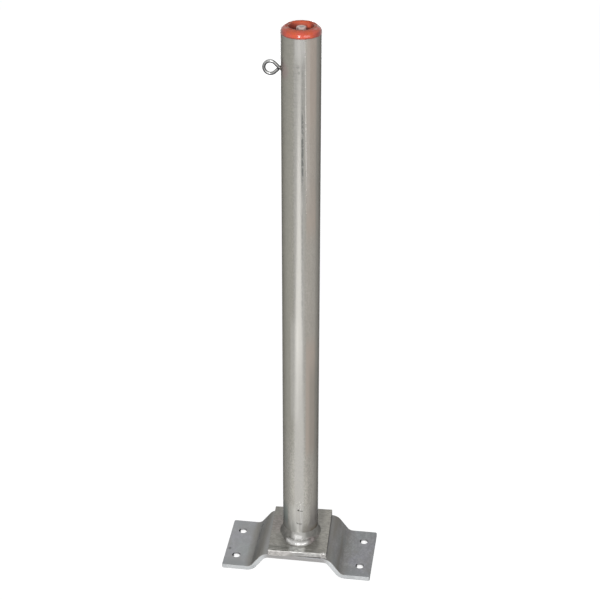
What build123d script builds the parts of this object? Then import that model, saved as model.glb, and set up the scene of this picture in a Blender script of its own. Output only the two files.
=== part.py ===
from build123d import *
from math import ceil, cos, hypot, radians, sin, tan
import os

# Removable barrier post: a tube on a foot plate, held down on a raised base
# bracket by one long central spindle that is turned from the top.
# Millimetres and degrees. The origin is on the tube's axis at ground level,
# X runs along the bracket, -Y is the front and Z is up.

# Base bracket, one strip bent to a hat shape
bracket_length = 255.0
bracket_width = 125.0
bracket_thickness = 8.0
flange_height = 38.0
flange_margin = 5.1
slope_angle = 53.6
bend_radius = 16.0
foot_corner_radius = 2.5
plate_edge_break = 0.5

# Anchor holes, two through each foot
anchor_end_margin = 20.0
anchor_side_margin = 28.5
anchor_hole_radius = 7.0

# Foot plate, set down a little askew on the bracket
foot_plate_width = 100.0
foot_plate_thickness = 10.0
foot_plate_turn = 2.5

# Tube and the weld round its foot
tube_radius = 30.0
tube_wall = 3.0
tube_length = 905.0
tube_edge_break = 0.7
foot_weld_leg = 5.2
foot_weld_height = 7.5
weld_crown = 0.12
front_run_radius = 27.7
front_run_height = 7.5
front_run_offset = 18.8
front_run_azimuth = -86.0

# Spindle, an M12 screw as long as the post, with a collar shrunk on below its key head
spindle_radius = 6.0
thread_pitch = 1.75
thread_tip = 3.0
tip_chamfer = 1.2
collar_radius = 11.0
collar_height = 6.0
key_flats = 13.0
key_length = 24.0
key_turn = 17.7
hex_face_inset = 0.3
hex_chamfer_angle = 30.0
key_below_rim = 1.7

# Nut under the bracket
nut_flats = 19.0
nut_height = 10.0
nut_weld_leg = 3.0

# Bearing disc in the top of the tube, with the washer and ring on the spindle
disc_depth = 32.0
disc_thickness = 8.0
disc_weld_leg = 3.0
washer_radius = 15.0
washer_thickness = 2.5
ring_radius = 9.4
ring_thickness = 1.0
ring_groove_depth = 0.3
ring_gap_angle = 40.0
stop_pin_radius = 2.0
stop_pin_reach = 5.0

# Cap, a moulded plug with a dished mouth round the key head
cap_overhang = 0.6
cap_height = 10.3
cap_skirt = 0.9
cap_mouth_radius = 18.8
cap_lip_radius = 1.4
cap_throat_radius = 13.0
cap_throat_depth = 10.0
cap_plug_length = 22.0
cap_plug_lead = 1.0
cap_wall = 2.7

# Chain eye, a wire ring closed on its own shank
eye_wire_radius = 2.5
eye_ring_radius = 9.7
eye_depth = 56.7
eye_reach = 16.0
eye_bend_radius = 4.0
eye_spread = 45.0
eye_weld_leg = 1.8

# Clearances
running_clearance = 0.05
hole_clearance = 1.0
seat_clearance = 0.1
step_clearance = 0.6

# Levels and places that follow from the sizes above
plate_top = flange_height + foot_plate_thickness
tube_top = plate_top + tube_length
tube_bore = tube_radius - tube_wall
flange_underside = flange_height - bracket_thickness
nut_bottom = flange_underside - nut_height
spindle_end = nut_bottom - thread_tip
spindle_rise = thread_pitch * ceil((nut_height + thread_tip) / thread_pitch)
spindle_hole = spindle_radius + hole_clearance
disc_top = tube_top - disc_depth
disc_bottom = disc_top - disc_thickness
collar_bottom = disc_top + washer_thickness
key_top = tube_top + cap_height - key_below_rim
ring_top = disc_top - seat_clearance
ring_recess = seat_clearance + ring_thickness + step_clearance
stop_pin_height = disc_bottom - spindle_rise - step_clearance - stop_pin_radius
eye_height = tube_top - eye_depth


def ring(outer, inner, bottom, height):
    """A flat ring or a tube round the post's axis."""
    body = Cylinder(outer, height, align=(Align.CENTER, Align.CENTER, Align.MIN))
    bore = Cylinder(inner, height, align=(Align.CENTER, Align.CENTER, Align.MIN))
    return Pos(0, 0, bottom) * (body - bore)


def hexagon(flats, bottom, height, turn=0.0, lower_chamfer=False):
    """A hexagonal prism, its corners cut back by a cone above, and below if asked."""
    corner = flats / 2 / cos(radians(30))
    face_radius = flats / 2 - hex_face_inset
    drop = (corner - face_radius) * tan(radians(hex_chamfer_angle))
    lower_end = [(face_radius, 0), (corner, drop)] if lower_chamfer else [(corner, 0)]
    upper_end = [(corner, height - drop), (face_radius, height)]
    outline = make_face(Polyline((0, 0), *lower_end, *upper_end, (0, height), close=True))
    turned = revolve(Plane.XZ * outline, Axis.Z)
    prism = extrude(RegularPolygon(corner, 6, rotation=turn), height)
    return Pos(0, 0, bottom) * (prism & turned)


def weld_fillet(radius, level, leg, height, outside=True):
    """A crowned fillet weld on a round wall, standing on a flat face."""
    side = 1 if outside else -1
    toe = Vector(radius + side * leg, 0, level)
    root = Vector(radius, 0, level)
    top = Vector(radius, 0, level + height)
    crown = (toe + top) * 0.5 + Vector(side * height, 0, leg) * weld_crown
    outline = ThreePointArc(toe, crown, top) + Line(top, root) + Line(root, toe)
    return revolve(make_face(outline), Axis.Z)


def foot_weld():
    """The weld round the tube's foot, with a fatter run that swells out at the front."""
    weld = weld_fillet(tube_radius, plate_top, foot_weld_leg, foot_weld_height)
    toe = (front_run_radius, 0)
    crown = (0, front_run_height)
    dome = EllipticalCenterArc((0, 0), front_run_radius, front_run_height, arc_size=90)
    profile = Plane.XZ * make_face(dome + Line(crown, (0, 0)) + Line((0, 0), toe))
    azimuth = radians(front_run_azimuth)
    run_x = front_run_offset * cos(azimuth)
    run_y = front_run_offset * sin(azimuth)
    weld += Pos(run_x, run_y, plate_top) * revolve(profile, Axis.Z)
    return weld - Pos(0, 0, plate_top) * Cylinder(tube_radius, tube_length)


def base_bracket():
    """The hat-shaped base, bent from one strip, with its anchor holes."""
    half_length = bracket_length / 2
    flange_knee = foot_plate_width / 2 + flange_margin
    foot_knee = flange_knee + flange_underside / tan(radians(slope_angle))
    shift = bracket_thickness / 2 * tan(radians(slope_angle / 2))
    outer_bend = bend_radius + bracket_thickness / 2
    inner_bend = bend_radius - bracket_thickness / 2
    upper = [
        (half_length, bracket_thickness),
        (foot_knee + shift, bracket_thickness),
        (flange_knee + shift, flange_height),
    ]
    lower = [
        (half_length, 0),
        (foot_knee - shift, 0),
        (flange_knee - shift, flange_underside),
    ]
    upper_line = mirrored_line(upper, [inner_bend, outer_bend])
    lower_line = mirrored_line(lower, [outer_bend, inner_bend])
    right_end = Line((half_length, 0), (half_length, bracket_thickness))
    left_end = Line((-half_length, 0), (-half_length, bracket_thickness))
    outline = make_face(upper_line + lower_line + right_end + left_end)
    strip = extrude(Plane.XZ * outline, bracket_width / 2, both=True)
    corners = strip.edges().filter_by(Axis.Z)
    strip = fillet(corners, foot_corner_radius)
    cut_edges = strip.faces().filter_by(Axis.Y).edges()
    strip = chamfer(cut_edges, plate_edge_break)
    hole_x = half_length - anchor_end_margin
    hole_y = bracket_width / 2 - anchor_side_margin
    for x in (-hole_x, hole_x):
        for y in (-hole_y, hole_y):
            strip -= Pos(x, y, 0) * Cylinder(anchor_hole_radius, 3 * bracket_thickness)
    return strip - Pos(0, 0, flange_height) * Cylinder(spindle_hole, 3 * bracket_thickness)


def mirrored_line(half, radii):
    """A rounded line through points on the right and their mirror images."""
    points = half + [(-x, z) for x, z in reversed(half)]
    return FilletPolyline(*points, radius=radii + radii[::-1])


def base_nut():
    """The hexagon nut under the flange, bored to the screw's running fit."""
    body = hexagon(nut_flats, nut_bottom, nut_height, lower_chamfer=True)
    bore = Cylinder(spindle_radius + running_clearance, 4 * nut_height)
    return body - Pos(0, 0, nut_bottom) * bore


def nut_weld():
    """The weld that runs round the nut on the flange's underside."""
    corner = nut_flats / 2 / cos(radians(30))
    cone = Cone(corner, corner + nut_weld_leg, nut_weld_leg, align=(Align.CENTER, Align.CENTER, Align.MIN))
    nut_space = extrude(RegularPolygon(corner, 6), nut_weld_leg)
    return Pos(0, 0, flange_underside - nut_weld_leg) * (cone - nut_space)


def foot_plate():
    """The square-cut plate under the tube, with the spindle's hole."""
    plate = Box(
        foot_plate_width,
        bracket_width,
        foot_plate_thickness,
        align=(Align.CENTER, Align.CENTER, Align.MIN),
    )
    plate = chamfer(plate.edges(), plate_edge_break)
    plate -= Cylinder(spindle_hole, 3 * foot_plate_thickness)
    return Pos(0, 0, flange_height) * Rot(0, 0, foot_plate_turn) * plate


def post_tube():
    """The round tube, with its top outer edge broken."""
    tube = ring(tube_radius, tube_bore, plate_top, tube_length)
    rims = tube.edges().filter_by(GeomType.CIRCLE).group_by(Axis.Z)[-1]
    return chamfer(rims.sort_by(SortBy.RADIUS)[-1], tube_edge_break)


def bearing_disc():
    """The disc that the spindle's collar pulls down on."""
    disc_radius = tube_bore - running_clearance
    bore_radius = spindle_radius + running_clearance
    disc = ring(disc_radius, bore_radius, disc_bottom, disc_thickness)
    recess_radius = ring_radius + hole_clearance
    return disc - Pos(0, 0, disc_top) * Cylinder(recess_radius, 2 * ring_recess)


def thrust_washer():
    """The washer under the collar, free to turn on the spindle."""
    return ring(washer_radius, spindle_radius + running_clearance, disc_top, washer_thickness)


def retaining_ring():
    """The open spring ring that keeps the washer on the spindle."""
    groove_radius = spindle_radius - ring_groove_depth
    band = ring(ring_radius, groove_radius, ring_top - ring_thickness, ring_thickness)
    reach = 2 * ring_radius
    half_gap = radians(ring_gap_angle / 2)
    corner_x = reach * cos(half_gap)
    corner_y = reach * sin(half_gap)
    gap = make_face(Polyline((0, 0), (corner_x, corner_y), (corner_x, -corner_y), close=True))
    return band - Pos(0, 0, ring_top - 2 * ring_thickness) * extrude(gap, 3 * ring_thickness)


def spindle():
    """The long screw in one piece: thread, stem and key head."""
    key_bottom = key_top - key_length
    stem_length = key_bottom - spindle_end
    stem = Cylinder(spindle_radius, stem_length, align=(Align.CENTER, Align.CENTER, Align.MIN))
    tip = stem.edges().filter_by(GeomType.CIRCLE).sort_by(Axis.Z)[0]
    stem = Pos(0, 0, spindle_end) * chamfer(tip, tip_chamfer)
    groove_height = ring_thickness + seat_clearance
    groove_radius = spindle_radius - ring_groove_depth
    stem -= ring(2 * spindle_radius, groove_radius, disc_top - groove_height, groove_height)
    pin_hole = Cylinder(stop_pin_radius, 4 * spindle_radius)
    stem -= Pos(0, 0, stop_pin_height) * Rot(0, 90, 0) * pin_hole
    return stem + hexagon(key_flats, key_bottom, key_length, key_turn)


def collar():
    """The collar shrunk on the spindle, its upper outer edge broken."""
    band = ring(collar_radius, spindle_radius, collar_bottom, collar_height)
    rims = band.edges().filter_by(GeomType.CIRCLE).group_by(Axis.Z)[-1]
    return chamfer(rims.sort_by(SortBy.RADIUS)[-1], step_clearance)


def stop_pin():
    """The cross pin that stops the spindle when it is wound right up."""
    pin = Cylinder(stop_pin_radius, 2 * (spindle_radius + stop_pin_reach))
    return Pos(0, 0, stop_pin_height) * Rot(0, 90, 0) * pin


def top_cap():
    """The moulded cap: rounded shoulder, dished mouth, throat and plug."""
    rim_radius = tube_radius + cap_overhang
    shoulder_radius = cap_height - cap_skirt
    crest = rim_radius - shoulder_radius
    plug_radius = tube_bore - seat_clearance
    plug_inside = plug_radius - cap_wall
    mouth_depth = cap_height + cap_throat_depth
    throat_run = cap_mouth_radius - cap_throat_radius
    wall_shift = cap_wall * hypot(throat_run, mouth_depth) / mouth_depth
    under_mouth = cap_height - shoulder_radius / 2 - cap_wall / 2
    under_run = throat_run * (under_mouth + cap_throat_depth) / mouth_depth
    under_radius = cap_throat_radius + wall_shift + under_run
    shoulder_turn = shoulder_radius * sin(radians(45))
    skirt_top = (rim_radius, cap_skirt)
    shoulder_middle = (crest + shoulder_turn, cap_skirt + shoulder_turn)
    shoulder_line = ThreePointArc(skirt_top, shoulder_middle, (crest, cap_height))
    rest = Polyline(
        (crest, cap_height),
        (cap_mouth_radius, cap_height),
        (cap_throat_radius, -cap_throat_depth),
        (cap_throat_radius + wall_shift, -cap_throat_depth),
        (under_radius, under_mouth),
        (plug_inside, 0),
        (plug_inside, -cap_plug_length),
        (plug_radius - cap_plug_lead, -cap_plug_length),
        (plug_radius, -cap_plug_length + 2 * cap_plug_lead),
        (plug_radius, 0),
        (rim_radius, 0),
        skirt_top,
    )
    outline = make_face(shoulder_line + rest)
    lip = outline.vertices().sort_by_distance((cap_mouth_radius, cap_height, 0))[0]
    outline = fillet(lip, cap_lip_radius)
    return Pos(0, 0, tube_top) * revolve(Plane.XZ * outline, Axis.Z)


def chain_eye():
    """The wire eye: shank, upper strand, ring and a lower strand that closes on it."""
    ring_x = -tube_radius - eye_reach
    spread = radians(eye_spread)
    strand_end = ring_x + eye_ring_radius / sin(spread)
    touch_x = ring_x + eye_ring_radius * sin(spread)
    touch_z = eye_ring_radius * cos(spread)
    free_gap = eye_wire_radius + running_clearance
    stop_x = strand_end - free_gap * cos(spread)
    stop_z = -free_gap * sin(spread)
    upper_points = [(-tube_bore, 0), (strand_end, 0), (touch_x, touch_z)]
    upper = FilletPolyline(*upper_points, radius=eye_bend_radius)
    loop = ThreePointArc((touch_x, touch_z), (ring_x - eye_ring_radius, 0), (touch_x, -touch_z))
    lower = Line((touch_x, -touch_z), (stop_x, stop_z))
    path = Plane.XZ * (upper + loop + lower)
    start = Plane(origin=(-tube_bore, 0, 0), z_dir=(-1, 0, 0))
    wire = sweep(start * Circle(eye_wire_radius), path)
    core = Cylinder(tube_radius, 8 * eye_wire_radius)
    return Pos(0, 0, eye_height) * (wire - core)


def eye_weld(eye):
    """The small weld round the eye's shank where it meets the tube."""
    bead = Cone(eye_wire_radius + eye_weld_leg, eye_wire_radius, eye_weld_leg)
    root = Cylinder(eye_wire_radius + eye_weld_leg, tube_wall)
    bead = Pos(0, 0, eye_weld_leg / 2) * bead + Pos(0, 0, -tube_wall / 2) * root
    placed = Pos(-tube_radius, 0, eye_height) * Rot(0, -90, 0) * bead
    core = Pos(0, 0, eye_height) * Cylinder(tube_radius, 8 * eye_wire_radius)
    return placed - core - eye


eye = chain_eye()
parts = {
    "base_bracket": base_bracket(),
    "base_nut": base_nut(),
    "nut_weld": nut_weld(),
    "foot_plate": foot_plate(),
    "post_tube": post_tube(),
    "foot_weld": foot_weld(),
    "bearing_disc": bearing_disc(),
    "disc_weld": weld_fillet(tube_bore, disc_top, disc_weld_leg, disc_weld_leg, outside=False),
    "top_cap": top_cap(),
    "chain_eye": eye,
    "eye_weld": eye_weld(eye),
    "thrust_washer": thrust_washer(),
    "spindle": spindle(),
    "collar": collar(),
    "retaining_ring": retaining_ring(),
    "stop_pin": stop_pin(),
}

os.makedirs("parts", exist_ok=True)
for node, shape in parts.items():
    export_step(shape, f"parts/{node}.step")
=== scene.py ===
from functools import cached_property
from math import cos, degrees, exp, hypot, pi, radians, sin, sqrt, tan

import bmesh
import bpy
from mathutils import Euler, Matrix, Vector, noise


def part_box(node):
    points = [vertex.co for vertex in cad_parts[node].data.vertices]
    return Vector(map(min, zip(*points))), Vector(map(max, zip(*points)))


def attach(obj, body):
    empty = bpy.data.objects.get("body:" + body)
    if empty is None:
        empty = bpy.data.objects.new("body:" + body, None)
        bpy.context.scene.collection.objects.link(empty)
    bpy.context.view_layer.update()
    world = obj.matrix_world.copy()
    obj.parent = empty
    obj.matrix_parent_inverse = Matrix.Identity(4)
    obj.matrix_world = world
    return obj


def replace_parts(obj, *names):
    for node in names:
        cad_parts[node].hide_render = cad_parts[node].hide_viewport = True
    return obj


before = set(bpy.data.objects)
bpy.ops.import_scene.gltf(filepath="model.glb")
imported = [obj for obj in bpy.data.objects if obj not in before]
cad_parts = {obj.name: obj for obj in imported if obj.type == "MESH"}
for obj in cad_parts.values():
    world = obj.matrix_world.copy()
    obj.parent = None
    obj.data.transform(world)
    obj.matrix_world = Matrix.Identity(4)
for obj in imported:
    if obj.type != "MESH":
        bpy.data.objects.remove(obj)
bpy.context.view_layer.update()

# A removable barrier post on its bolt-down base bracket. Metres, in the part's own frame:
# the tube's axis is Z, X runs along the bracket and -Y is the front.

MM = 0.001

# Sizes read from the frame
tube_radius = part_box("post_tube")[1].x
tube_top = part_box("post_tube")[1].z
plate_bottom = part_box("foot_plate")[0].z
plate_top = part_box("foot_plate")[1].z
cap_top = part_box("top_cap")[1].z
eye_level = (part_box("chain_eye")[0].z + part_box("chain_eye")[1].z) / 2
nut_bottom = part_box("base_nut")[0].z
nut_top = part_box("base_nut")[1].z
spindle_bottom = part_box("spindle")[0].z
spindle_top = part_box("spindle")[1].z
washer_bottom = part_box("thrust_washer")[0].z

# Camera, worked out from the photograph
camera_place = (0.31279, -2.20197, 1.76706)
camera_pitch = 29.57
camera_turn = 8.12
camera_roll = 0.06
camera_lens = 96.4
camera_sensor = 36

# Lamps round the post: azimuth, elevation and distance, size, and power in watts
lamps_aim = (0, 0, 0.6)
lamps = {
    "key": ((-93, 26, 2.45), (0.42, 1.6), 34),
    "fill": ((-52, 24, 2.3), (1.3, 1.3), 15),
    "back": ((98, -4, 2.4), (0.9, 0.9), 9),
}
# Bright strips that lie in front: where they start, their length and width, and their radiance
strip_azimuth = -94
strip_level = 0.004
strips = {
    "strip_far": (0.62, 1.45, 0.58, 1.9),
    "strip_near": (0.13, 0.49, 0.44, 0.8),
}
world_fill = 0.2

# Floor
floor_reach = 40
floor_drop = 0.2 * MM
floor_white = 0.86
floor_glow = 0.86
floor_glow_strength = 1.14

# Spindle: an M12 thread over its lower end, a groove for the spring ring and a hexagonal key head
thread_pitch = 1.75 * MM
thread_root = 4.95 * MM
thread_crest = 5.97 * MM
thread_top = 82 * MM
thread_form = ((0, thread_root), (0.14, thread_root), (0.44, thread_crest), (0.7, thread_crest))
round_segments = 48
tip_chamfer = 1.2 * MM
stem_radius = 6 * MM
ring_groove_depth = 0.3 * MM
ring_groove_width = 1.1 * MM
key_flats = 13 * MM
key_length = 24 * MM
key_turn = 17.7
key_face_inset = 0.3 * MM
key_chamfer_angle = 30
key_points = 96
key_chamfer_steps = 8
head_dull = (1 * MM, -0.2 * MM, spindle_top)

# The nut's thread, which runs in the spindle's grooves
nut_bore = 6.02 * MM
nut_crest = thread_root + 0.1 * MM
nut_form = ((-0.36, nut_bore), (-0.02, nut_crest), (0.16, nut_crest), (0.5, nut_bore))

# Weld at the tube's foot: the fillet all round and the fatter run that swells out in front
fillet_leg = 5.2 * MM
fillet_height = 16 * MM
fillet_bend = 1.35
run_radius = 27.7 * MM
run_offset = 18.8 * MM
run_azimuth = -86
run_height = 6.2 * MM
run_start = 3.2 * MM
run_crest = 0.4
run_inner_drop = 0.46
run_full_width = 9 * MM
run_fade = 0.7
run_flank = 2.6
run_steep = 0.45
run_gentle = 1
run_gentle_turns = (14, 44)
crease_azimuth = -86
crease_cover = 0.38
crease_end_right = (12, 30)
crease_end_left = (20, 52)
weld_around = 720
weld_across = 40
# Ripples of the weld: height, and the size of the random places that set them
weld_wave = (0.14 * MM, 12 * MM)
weld_grain = (0.3 * MM, 5 * MM)
weld_ragged = (0.8 * MM, 9 * MM)
# Lumps on the run: azimuth, radius, height, half width along and across. The first two are bright
run_lumps = (
    (-117.5, 40.5 * MM, 1.5 * MM, 3.2 * MM, 2.4 * MM),
    (-111, 42.5 * MM, 0.7 * MM, 2 * MM, 2 * MM),
    (-128, 37 * MM, 0.6 * MM, 2.5 * MM, 1.6 * MM),
)
bright_lumps = 2

# Foot plate: half its size, its turn on the bracket and its worked front edge
plate_half_x = 50 * MM
plate_half_y = 62.5 * MM
plate_turn = 2.5
plate_hole = 7 * MM
plate_edge_round = 0.5 * MM
plate_corner = 0.6 * MM
plate_wall_steps = 10
# How far in from the edge the top's rows of points lie, in millimetres
plate_insets = (9, 6, 4.2, 3.2, 2.5, 2, 1.6, 1.25, 0.95, 0.7, 0.48, 0.3, 0.16, 0.06, 0)
front_points = 250
side_points = 50
front_roll = 2.4 * MM
front_roll_start = -13 * MM
front_roll_end = 46 * MM
front_roll_in = 5 * MM
front_roll_out = 3 * MM
front_ripple = 0.16 * MM
front_ripple_reach = (4.2 * MM, 1 * MM)
front_lip_height = 0.35 * MM
front_lip_inset = 0.7 * MM
front_lip_half = 0.5 * MM
front_lip_fade = 2 * MM
front_wall_marks = 0.22 * MM
# Burrs on the front edge: place along it, distance in from it, height and half width
front_burrs = (
    (43 * MM, 1.4 * MM, 0.9 * MM, 1.5 * MM),
    (46.5 * MM, 2.2 * MM, 1 * MM, 1.3 * MM),
    (49 * MM, 1 * MM, 0.8 * MM, 1.1 * MM),
    (-49 * MM, 1 * MM, 0.9 * MM, 1.4 * MM),
    (-45.5 * MM, 0.8 * MM, 0.5 * MM, 1.6 * MM),
    (-16 * MM, 0.8 * MM, 0.5 * MM, 1.4 * MM),
)

# Seam of the tube, a scarfed line that turns a little round the tube
seam_azimuth_top = -71.6
seam_azimuth_low = -65.6
seam_top = tube_top - 4 * MM
seam_low = 0.672
seam_width = 1.35 * MM
seam_proud = 0.16 * MM
seam_sunk = 0.02 * MM
seam_steps = 90
seam_half_points = 3

# Zinc skins: dark and light tone, metallic, roughness from and to, grain, and the spangle's share
even = (1, 1, 1)
zinc_skins = {
    "tube_zinc": ((0.322, 0.311, 0.28), (0.372, 0.36, 0.328), 0.5, 0.19, 0.26, (1, 1, 0.25), 0.2),
    "bracket_zinc": ((0.298, 0.303, 0.314), (0.366, 0.373, 0.383), 0.45, 0.38, 0.5, even, 0.12),
    "plate_zinc": ((0.3, 0.292, 0.266), (0.396, 0.385, 0.354), 0.5, 0.32, 0.46, even, 0.2),
    "foot_weld_zinc": ((0.56, 0.555, 0.54), (0.7, 0.695, 0.68), 0.45, 0.17, 0.26, even, 0.35),
    "eye_weld_zinc": ((0.16, 0.13, 0.11), (0.3, 0.27, 0.25), 0.45, 0.4, 0.6, even, 0.35),
    "seam_zinc": ((0.3, 0.272, 0.245), (0.35, 0.318, 0.288), 0.5, 0.22, 0.3, even, 0.35),
    "weld_zinc": ((0.34, 0.335, 0.32), (0.44, 0.435, 0.42), 0.6, 0.26, 0.38, even, 0.35),
    "fastener_zinc": ((0.4, 0.41, 0.42), (0.52, 0.53, 0.54), 0.8, 0.22, 0.36, even, 0.35),
}
# How many features a metre the zinc's clouds, spangle, grain and waves have
zinc_clouds = 38
zinc_spangle = 230
zinc_grain = 900
zinc_waves = 60

# Marks on the tube. Spans are (from, to, soft width), in degrees round it and in metres up it
strip_turns = (-80.6, -75.4, 1)
strip_heights = (
    ((0.72, 0.895, 0.04), 0.3),
    ((0.745, 0.825, 0.03), 0.52),
    # The lowest span is painted shade that trims the right edge of the front highlight
    ((0.5, 0.66, 0.04), 0.26),
)
# The bright tongue at the foot, which the painted shade leaves clear: its edge's heights and azimuths, which
# way is past it, and the dull tones higher up and at the weld, the ones at the weld lighter as painted light
tongue_sides = (
    ((0.052, 0.08, -102, -128), -1, (0.222, 0.242, 0.228), (0.31, 0.31, 0.29)),
    ((0.056, 0.091, -73, -48), 1, (0.232, 0.22, 0.206), (0.29, 0.276, 0.256)),
)
# Nicks near the tube's foot: azimuth, height, half length in degrees, slope in metres a degree
foot_nicks = (
    (-79.3, 0.1098, 4.2, -0.00004),
    (-86, 0.083, 8.4, -0.0001),
)
nick_sag = 0.000012
nick_half = (1.6 * MM, 0.6 * MM)
nick_blob = (-89, 0.1116)
# Dull scuffs on the upper tube: azimuth, height, reach and strength
scuffs = (
    (-91, 0.9105, 3.4 * MM, 0.5),
    (-88.5, 0.901, 2.4 * MM, 0.7),
)

# Bracket: spans of its bends and holes along X, and its holes' reach from the middle
bend_span = (0.058, 0.08, 0.014)
hole_span = (0.0995, 0.1155, 0.0008)
hole_reach = (0.045, 0.043)

# Plate's front face: levels of its dark line, a painted shadow, and of its dashes
face_line = (0.0412, 0.0402)
face_dashes = 0.045
face_wander = 1 * MM

# Cap: where its mouth begins, and the spans of its pale crest, worn and partly painted highlight, and of its
# worn, dull ring
cap_mouth = (18.8 * MM, 17.2 * MM)
cap_crest = (18.7 * MM, 21.5 * MM, 1.6 * MM)
cap_worn = (17.2 * MM, 22.5 * MM, 1.6 * MM)
# Dust on the cap's crest: azimuth, how far out, reach and strength
cap_dust = (
    (-150, 21.5 * MM, 6.5 * MM, 0.55),
    (-24, 22.5 * MM, 6 * MM, 0.45),
    (8, 23.5 * MM, 8 * MM, 0.85),
    (168, 21 * MM, 6.5 * MM, 0.8),
)


def polar(radius, angle, z):
    return (radius * cos(angle), radius * sin(angle), z)


def smooth_step(value, low, high):
    share = min(1, max(0, (value - low) / (high - low)))
    return share * share * (3 - 2 * share)


class Skin:
    """A material whose shader tree is built up from small steps."""

    def __init__(self, name, metallic=0, roughness=0.5):
        self.material = bpy.data.materials.new(name)
        self.material.use_nodes = True
        self.tree = self.material.node_tree
        self.shader = self.tree.nodes["Principled BSDF"]
        self.put("Metallic", metallic)
        self.put("Roughness", roughness)
        # Where a point is, and which way the surface faces there
        coordinates = self.node("ShaderNodeTexCoord").outputs
        self.place = coordinates["Object"]
        self.axes = self.x, self.y, self.z = self.split(self.place)
        self.facing_x, self.facing_y, self.facing_z = self.split(coordinates["Normal"])
        self.colour = self.relief = None

    @cached_property
    def angle(self):
        """The angle round the tube's axis, in degrees."""
        return self.times(self.math("ARCTAN2", self.y, self.x), 180 / pi)

    @cached_property
    def radius(self):
        """How far a point is from the tube's axis."""
        return self.length(self.x, self.y)

    def node(self, kind, **values):
        """Makes a node. Names with a capital letter are its inputs, the others its settings."""
        made = self.tree.nodes.new(kind)
        for name, value in values.items():
            if name[0].isupper():
                self.join(value, made.inputs[name])
            else:
                setattr(made, name, value)
        return made

    def join(self, value, socket):
        """Links a socket to an input, or sets the input to a plain value."""
        if isinstance(value, bpy.types.NodeSocket):
            self.tree.links.new(value, socket)
        else:
            socket.default_value = value

    def put(self, name, value):
        """Links or sets one of the shader's inputs."""
        self.join(value, self.shader.inputs[name])

    def math(self, operation, *values):
        made = self.node("ShaderNodeMath", operation=operation)
        for value, socket in zip(values, made.inputs):
            self.join(value, socket)
        return made.outputs[0]

    def share(self, value):
        """Reads (value, low, high, soft) as a window and any other tuple as a band."""
        if isinstance(value, tuple):
            return self.window(*value) if len(value) == 4 else self.band(*value)
        return value

    def fold(self, operation, values):
        """Joins all the values, one after another."""
        total, *others = [self.share(value) for value in values]
        for value in others:
            total = self.math(operation, total, value)
        return total

    def times(self, *values):
        return self.fold("MULTIPLY", values)

    def plus(self, *values):
        return self.fold("ADD", values)

    def most(self, *values):
        return self.fold("MAXIMUM", values)

    def minus(self, value, less):
        return self.math("SUBTRACT", value, less)

    def absolute(self, value):
        return self.math("ABSOLUTE", value)

    def length(self, across, along):
        return self.math("SQRT", self.plus(self.times(across, across), self.times(along, along)))

    def split(self, vector):
        return tuple(self.node("ShaderNodeSeparateXYZ", Vector=vector).outputs)

    def texture(self, kind, scale, stretch, shift, **values):
        """A texture over the place, with features about 1 / scale metres across."""
        sizes = [scale * s for s in stretch]
        move = self.node("ShaderNodeMapping", Vector=self.place, Scale=sizes, Location=shift)
        return self.node(kind, Vector=move.outputs[0], Scale=1, **values)

    def noise(self, scale, detail, roughness=0.55, stretch=even, shift=(0, 0, 0)):
        """Soft noise from 0 to 1."""
        values = {"Detail": detail, "Roughness": roughness}
        return self.texture("ShaderNodeTexNoise", scale, stretch, shift, **values).outputs["Fac"]

    def cells(self, scale, stretch):
        """Flat random values per cell, as in zinc spangle."""
        values = {"feature": "SMOOTH_F1", "Smoothness": 0.35}
        made = self.texture("ShaderNodeTexVoronoi", scale, stretch, (0, 0, 0), **values)
        return self.node("ShaderNodeSeparateColor", Color=made.outputs["Color"]).outputs[0]

    def band(self, value, low, high, out_low=0, out_high=1):
        """Maps low..high smoothly to out_low..out_high, and holds the ends."""
        made = self.node("ShaderNodeMapRange", interpolation_type="SMOOTHSTEP")
        for socket, number in zip(made.inputs, (value, low, high, out_low, out_high)):
            self.join(number, socket)
        return made.outputs[0]

    def patches(self, scale, detail, low, high, out_low=0, out_high=1, *shape):
        """Soft noise through a band. The rest is the noise's roughness, stretch and shift."""
        return self.band(self.noise(scale, detail, *shape), low, high, out_low, out_high)

    def window(self, value, low, high, soft):
        """1 between low and high, falling to 0 over the soft width outside."""
        return self.times((value, low - soft, low), (value, high, high + soft, 1, 0))

    def spot(self, middle, radii):
        """1 at a point and 0 past an ellipsoid of the given radii, with a soft edge."""
        squares = []
        for axis, centre, radius in zip(self.axes, middle, radii):
            away = self.math("DIVIDE", self.minus(axis, centre), radius)
            squares.append(self.times(away, away))
        return self.band(self.plus(*squares), 1, 0)

    def mix(self, share, first, second):
        """first where share is 0, second where it is 1."""
        made = self.node("ShaderNodeMix", data_type="RGBA")
        self.join(self.share(share), made.inputs["Factor"])
        sockets = [socket for socket in made.inputs if socket.type == "RGBA"]
        for value, socket in zip((first, second), sockets):
            self.join((*value, 1) if isinstance(value, tuple) else value, socket)
        return next(socket for socket in made.outputs if socket.type == "RGBA")

    def over(self, under, tone, *shares):
        """A tone over a colour, as strong as the product of the shares."""
        return self.mix(self.times(*shares), under, tone)

    def coat(self, colour):
        """Gives the surface its colour."""
        self.colour = colour
        self.put("Base Color", colour)

    def paint(self, tone, *shares):
        """Lays a tone over the colour so far."""
        self.coat(self.over(self.colour, tone, *shares))

    def cloud(self, tone, share, scale, detail, low, high, *shape):
        """Lays a tone over the colour so far in soft patches."""
        self.paint(tone, self.patches(scale, detail, low, high, 0, share, *shape))

    def bump(self, height, strength, distance):
        """Adds fine relief on top of what is there."""
        made = self.node("ShaderNodeBump", Strength=strength, Distance=distance, Height=height)
        if self.relief is not None:
            self.join(self.relief, made.inputs["Normal"])
        self.relief = made.outputs[0]
        self.put("Normal", self.relief)


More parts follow.
